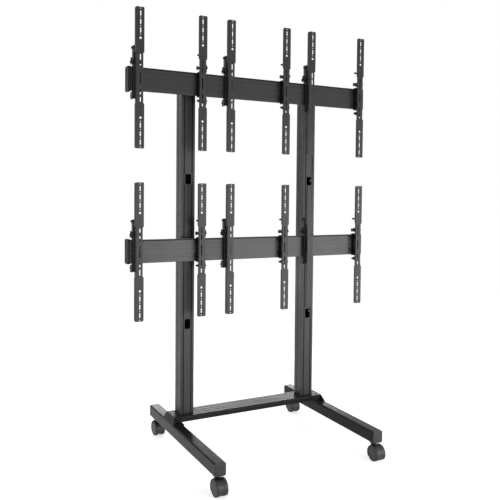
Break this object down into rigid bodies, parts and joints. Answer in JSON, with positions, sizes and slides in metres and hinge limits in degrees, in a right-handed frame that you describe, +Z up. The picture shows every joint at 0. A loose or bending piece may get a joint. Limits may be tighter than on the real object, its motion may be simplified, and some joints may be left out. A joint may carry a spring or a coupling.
{
  "type": "video wall cart",
  "caption": "Wheeled stand for a wall of displays: caster legs, cross beam, square columns, grooved rails and slotted display arms on sliding hooks with height adjusters.",
  "frame": {"origin": "on the floor, at the middle of the footprint", "axes": "+Z up, -Y towards the displays' viewers, +X to the right for someone who looks at the displays"},
  "size_m": [1.732, 1.1292, 2.7472],
  "materials": {
    "painted_steel": "satin powder coat",
    "black_steel": "satin powder coat",
    "painted_aluminium": "satin powder coat",
    "satin_aluminium": "satin anodised",
    "black_plastic": "fine moulded grain",
    "wheel_rubber": "matte"
  },
  "bodies": {
    "frame": {"leg_left": "painted_steel", "leg_cap_left_front": "black_plastic", "leg_cap_left_rear": "black_plastic", "leg_right": "painted_steel", "leg_cap_right_front": "black_plastic", "leg_cap_right_rear": "black_plastic", "cross_beam": "satin_aluminium", "column_left": "painted_aluminium", "column_right": "painted_aluminium"},
    "swivel_left_front": {"caster_hood_left_front": "black_plastic"},
    "roller_left_front": {"caster_wheels_left_front": "wheel_rubber"},
    "swivel_left_rear": {"caster_hood_left_rear": "black_plastic"},
    "roller_left_rear": {"caster_wheels_left_rear": "wheel_rubber"},
    "swivel_right_front": {"caster_hood_right_front": "black_plastic"},
    "roller_right_front": {"caster_wheels_right_front": "wheel_rubber"},
    "swivel_right_rear": {"caster_hood_right_rear": "black_plastic"},
    "roller_right_rear": {"caster_wheels_right_rear": "wheel_rubber"},
    "lower_rail": {"rail_lower": "satin_aluminium", "rail_cap_lower_left": "black_plastic", "rail_cap_lower_right": "black_plastic"},
    "hook_lower_1": {"rail_hook_lower_1": "black_steel"},
    "arm_lower_1": {"display_arm_lower_1": "painted_steel"},
    "adjuster_lower_1": {"height_adjuster_lower_1": "black_plastic"},
    "hook_lower_2": {"rail_hook_lower_2": "black_steel"},
    "arm_lower_2": {"display_arm_lower_2": "painted_steel"},
    "adjuster_lower_2": {"height_adjuster_lower_2": "black_plastic"},
    "hook_lower_3": {"rail_hook_lower_3": "black_steel"},
    "arm_lower_3": {"display_arm_lower_3": "painted_steel"},
    "adjuster_lower_3": {"height_adjuster_lower_3": "black_plastic"},
    "hook_lower_4": {"rail_hook_lower_4": "black_steel"},
    "arm_lower_4": {"display_arm_lower_4": "painted_steel"},
    "adjuster_lower_4": {"height_adjuster_lower_4": "black_plastic"},
    "hook_lower_5": {"rail_hook_lower_5": "black_steel"},
    "arm_lower_5": {"display_arm_lower_5": "painted_steel"},
    "adjuster_lower_5": {"height_adjuster_lower_5": "black_plastic"},
    "hook_lower_6": {"rail_hook_lower_6": "black_steel"},
    "arm_lower_6": {"display_arm_lower_6": "painted_steel"},
    "adjuster_lower_6": {"height_adjuster_lower_6": "black_plastic"},
    "upper_rail": {"rail_upper": "satin_aluminium", "rail_cap_upper_left": "black_plastic", "rail_cap_upper_right": "black_plastic"},
    "hook_upper_1": {"rail_hook_upper_1": "black_steel"},
    "arm_upper_1": {"display_arm_upper_1": "painted_steel"},
    "adjuster_upper_1": {"height_adjuster_upper_1": "black_plastic"},
    "hook_upper_2": {"rail_hook_upper_2": "black_steel"},
    "arm_upper_2": {"display_arm_upper_2": "painted_steel"},
    "adjuster_upper_2": {"height_adjuster_upper_2": "black_plastic"},
    "hook_upper_3": {"rail_hook_upper_3": "black_steel"},
    "arm_upper_3": {"display_arm_upper_3": "painted_steel"},
    "adjuster_upper_3": {"height_adjuster_upper_3": "black_plastic"},
    "hook_upper_4": {"rail_hook_upper_4": "black_steel"},
    "arm_upper_4": {"display_arm_upper_4": "painted_steel"},
    "adjuster_upper_4": {"height_adjuster_upper_4": "black_plastic"},
    "hook_upper_5": {"rail_hook_upper_5": "black_steel"},
    "arm_upper_5": {"display_arm_upper_5": "painted_steel"},
    "adjuster_upper_5": {"height_adjuster_upper_5": "black_plastic"},
    "hook_upper_6": {"rail_hook_upper_6": "black_steel"},
    "arm_upper_6": {"display_arm_upper_6": "painted_steel"},
    "adjuster_upper_6": {"height_adjuster_upper_6": "black_plastic"}
  },
  "joints": [
    {"name": "caster_left_front_swivel", "type": "hinge", "parent": "frame", "child": "swivel_left_front", "pos_m": [-0.5355, -0.4826, 0.1], "axis": [0, 0, 1], "continuous": true},
    {"name": "caster_left_front_roll", "type": "hinge", "parent": "swivel_left_front", "child": "roller_left_front", "pos_m": [-0.5355, -0.5126, 0.0475], "axis": [1, 0, 0], "continuous": true},
    {"name": "caster_left_rear_swivel", "type": "hinge", "parent": "frame", "child": "swivel_left_rear", "pos_m": [-0.5355, 0.5181, 0.1], "axis": [0, 0, 1], "continuous": true},
    {"name": "caster_left_rear_roll", "type": "hinge", "parent": "swivel_left_rear", "child": "roller_left_rear", "pos_m": [-0.5355, 0.4881, 0.0475], "axis": [1, 0, 0], "continuous": true},
    {"name": "caster_right_front_swivel", "type": "hinge", "parent": "frame", "child": "swivel_right_front", "pos_m": [0.5355, -0.4826, 0.1], "axis": [0, 0, 1], "continuous": true},
    {"name": "caster_right_front_roll", "type": "hinge", "parent": "swivel_right_front", "child": "roller_right_front", "pos_m": [0.5355, -0.5126, 0.0475], "axis": [1, 0, 0], "continuous": true},
    {"name": "caster_right_rear_swivel", "type": "hinge", "parent": "frame", "child": "swivel_right_rear", "pos_m": [0.5355, 0.5181, 0.1], "axis": [0, 0, 1], "continuous": true},
    {"name": "caster_right_rear_roll", "type": "hinge", "parent": "swivel_right_rear", "child": "roller_right_rear", "pos_m": [0.5355, 0.4881, 0.0475], "axis": [1, 0, 0], "continuous": true},
    {"name": "lower_rail_height", "type": "slide", "parent": "frame", "child": "lower_rail", "axis": [0, 0, 1], "range_m": [-0.1, 0.08]},
    {"name": "hook_lower_1_slide", "type": "slide", "parent": "lower_rail", "child": "hook_lower_1", "axis": [1, 0, 0], "range_m": [-0.008, 0.15]},
    {"name": "arm_lower_1_lift", "type": "slide", "parent": "hook_lower_1", "child": "arm_lower_1", "axis": [0, 0, 1], "range_m": [-0.01, 0.01]},
    {"name": "adjuster_lower_1_turn", "type": "hinge", "parent": "hook_lower_1", "child": "adjuster_lower_1", "pos_m": [-0.8034, 0.11055, 1.3946], "axis": [1, 0, 0], "range_deg": [-90, 90]},
    {"name": "hook_lower_2_slide", "type": "slide", "parent": "lower_rail", "child": "hook_lower_2", "axis": [1, 0, 0], "range_m": [-0.15, 0.05]},
    {"name": "arm_lower_2_lift", "type": "slide", "parent": "hook_lower_2", "child": "arm_lower_2", "axis": [0, 0, 1], "range_m": [-0.01, 0.01]},
    {"name": "adjuster_lower_2_turn", "type": "hinge", "parent": "hook_lower_2", "child": "adjuster_lower_2", "pos_m": [-0.4034, 0.11055, 1.3946], "axis": [1, 0, 0], "range_deg": [-90, 90]},
    {"name": "hook_lower_3_slide", "type": "slide", "parent": "lower_rail", "child": "hook_lower_3", "axis": [1, 0, 0], "range_m": [-0.05, 0.15]},
    {"name": "arm_lower_3_lift", "type": "slide", "parent": "hook_lower_3", "child": "arm_lower_3", "axis": [0, 0, 1], "range_m": [-0.01, 0.01]},
    {"name": "adjuster_lower_3_turn", "type": "hinge", "parent": "hook_lower_3", "child": "adjuster_lower_3", "pos_m": [-0.2, 0.11055, 1.3946], "axis": [1, 0, 0], "range_deg": [-90, 90]},
    {"name": "hook_lower_4_slide", "type": "slide", "parent": "lower_rail", "child": "hook_lower_4", "axis": [1, 0, 0], "range_m": [-0.15, 0.05]},
    {"name": "arm_lower_4_lift", "type": "slide", "parent": "hook_lower_4", "child": "arm_lower_4", "axis": [0, 0, 1], "range_m": [-0.01, 0.01]},
    {"name": "adjuster_lower_4_turn", "type": "hinge", "parent": "hook_lower_4", "child": "adjuster_lower_4", "pos_m": [0.2, 0.11055, 1.3946], "axis": [1, 0, 0], "range_deg": [-90, 90]},
    {"name": "hook_lower_5_slide", "type": "slide", "parent": "lower_rail", "child": "hook_lower_5", "axis": [1, 0, 0], "range_m": [-0.05, 0.15]},
    {"name": "arm_lower_5_lift", "type": "slide", "parent": "hook_lower_5", "child": "arm_lower_5", "axis": [0, 0, 1], "range_m": [-0.01, 0.01]},
    {"name": "adjuster_lower_5_turn", "type": "hinge", "parent": "hook_lower_5", "child": "adjuster_lower_5", "pos_m": [0.4034, 0.11055, 1.3946], "axis": [1, 0, 0], "range_deg": [-90, 90]},
    {"name": "hook_lower_6_slide", "type": "slide", "parent": "lower_rail", "child": "hook_lower_6", "axis": [1, 0, 0], "range_m": [-0.15, 0.008]},
    {"name": "arm_lower_6_lift", "type": "slide", "parent": "hook_lower_6", "child": "arm_lower_6", "axis": [0, 0, 1], "range_m": [-0.01, 0.01]},
    {"name": "adjuster_lower_6_turn", "type": "hinge", "parent": "hook_lower_6", "child": "adjuster_lower_6", "pos_m": [0.8034, 0.11055, 1.3946], "axis": [1, 0, 0], "range_deg": [-90, 90]},
    {"name": "upper_rail_height", "type": "slide", "parent": "frame", "child": "upper_rail", "axis": [0, 0, 1], "range_m": [-0.1, 0]},
    {"name": "hook_upper_1_slide", "type": "slide", "parent": "upper_rail", "child": "hook_upper_1", "axis": [1, 0, 0], "range_m": [-0.008, 0.15]},
    {"name": "arm_upper_1_lift", "type": "slide", "parent": "hook_upper_1", "child": "arm_upper_1", "axis": [0, 0, 1], "range_m": [-0.01, 0.01]},
    {"name": "adjuster_upper_1_turn", "type": "hinge", "parent": "hook_upper_1", "child": "adjuster_upper_1", "pos_m": [-0.8034, 0.11055, 2.4321], "axis": [1, 0, 0], "range_deg": [-90, 90]},
    {"name": "hook_upper_2_slide", "type": "slide", "parent": "upper_rail", "child": "hook_upper_2", "axis": [1, 0, 0], "range_m": [-0.15, 0.05]},
    {"name": "arm_upper_2_lift", "type": "slide", "parent": "hook_upper_2", "child": "arm_upper_2", "axis": [0, 0, 1], "range_m": [-0.01, 0.01]},
    {"name": "adjuster_upper_2_turn", "type": "hinge", "parent": "hook_upper_2", "child": "adjuster_upper_2", "pos_m": [-0.4034, 0.11055, 2.4321], "axis": [1, 0, 0], "range_deg": [-90, 90]},
    {"name": "hook_upper_3_slide", "type": "slide", "parent": "upper_rail", "child": "hook_upper_3", "axis": [1, 0, 0], "range_m": [-0.05, 0.15]},
    {"name": "arm_upper_3_lift", "type": "slide", "parent": "hook_upper_3", "child": "arm_upper_3", "axis": [0, 0, 1], "range_m": [-0.01, 0.01]},
    {"name": "adjuster_upper_3_turn", "type": "hinge", "parent": "hook_upper_3", "child": "adjuster_upper_3", "pos_m": [-0.2, 0.11055, 2.4321], "axis": [1, 0, 0], "range_deg": [-90, 90]},
    {"name": "hook_upper_4_slide", "type": "slide", "parent": "upper_rail", "child": "hook_upper_4", "axis": [1, 0, 0], "range_m": [-0.15, 0.05]},
    {"name": "arm_upper_4_lift", "type": "slide", "parent": "hook_upper_4", "child": "arm_upper_4", "axis": [0, 0, 1], "range_m": [-0.01, 0.01]},
    {"name": "adjuster_upper_4_turn", "type": "hinge", "parent": "hook_upper_4", "child": "adjuster_upper_4", "pos_m": [0.2, 0.11055, 2.4321], "axis": [1, 0, 0], "range_deg": [-90, 90]},
    {"name": "hook_upper_5_slide", "type": "slide", "parent": "upper_rail", "child": "hook_upper_5", "axis": [1, 0, 0], "range_m": [-0.05, 0.15]},
    {"name": "arm_upper_5_lift", "type": "slide", "parent": "hook_upper_5", "child": "arm_upper_5", "axis": [0, 0, 1], "range_m": [-0.01, 0.01]},
    {"name": "adjuster_upper_5_turn", "type": "hinge", "parent": "hook_upper_5", "child": "adjuster_upper_5", "pos_m": [0.4034, 0.11055, 2.4321], "axis": [1, 0, 0], "range_deg": [-90, 90]},
    {"name": "hook_upper_6_slide", "type": "slide", "parent": "upper_rail", "child": "hook_upper_6", "axis": [1, 0, 0], "range_m": [-0.15, 0.008]},
    {"name": "arm_upper_6_lift", "type": "slide", "parent": "hook_upper_6", "child": "arm_upper_6", "axis": [0, 0, 1], "range_m": [-0.01, 0.01]},
    {"name": "adjuster_upper_6_turn", "type": "hinge", "parent": "hook_upper_6", "child": "adjuster_upper_6", "pos_m": [0.8034, 0.11055, 2.4321], "axis": [1, 0, 0], "range_deg": [-90, 90]}
  ],
  "couplings": [
    {"joint": "adjuster_lower_1_turn", "follows": "arm_lower_1_lift", "rad_per_m": 157},
    {"joint": "adjuster_lower_2_turn", "follows": "arm_lower_2_lift", "rad_per_m": 157},
    {"joint": "adjuster_lower_3_turn", "follows": "arm_lower_3_lift", "rad_per_m": 157},
    {"joint": "adjuster_lower_4_turn", "follows": "arm_lower_4_lift", "rad_per_m": 157},
    {"joint": "adjuster_lower_5_turn", "follows": "arm_lower_5_lift", "rad_per_m": 157},
    {"joint": "adjuster_lower_6_turn", "follows": "arm_lower_6_lift", "rad_per_m": 157},
    {"joint": "adjuster_upper_1_turn", "follows": "arm_upper_1_lift", "rad_per_m": 157},
    {"joint": "adjuster_upper_2_turn", "follows": "arm_upper_2_lift", "rad_per_m": 157},
    {"joint": "adjuster_upper_3_turn", "follows": "arm_upper_3_lift", "rad_per_m": 157},
    {"joint": "adjuster_upper_4_turn", "follows": "arm_upper_4_lift", "rad_per_m": 157},
    {"joint": "adjuster_upper_5_turn", "follows": "arm_upper_5_lift", "rad_per_m": 157},
    {"joint": "adjuster_upper_6_turn", "follows": "arm_upper_6_lift", "rad_per_m": 157}
  ]
}
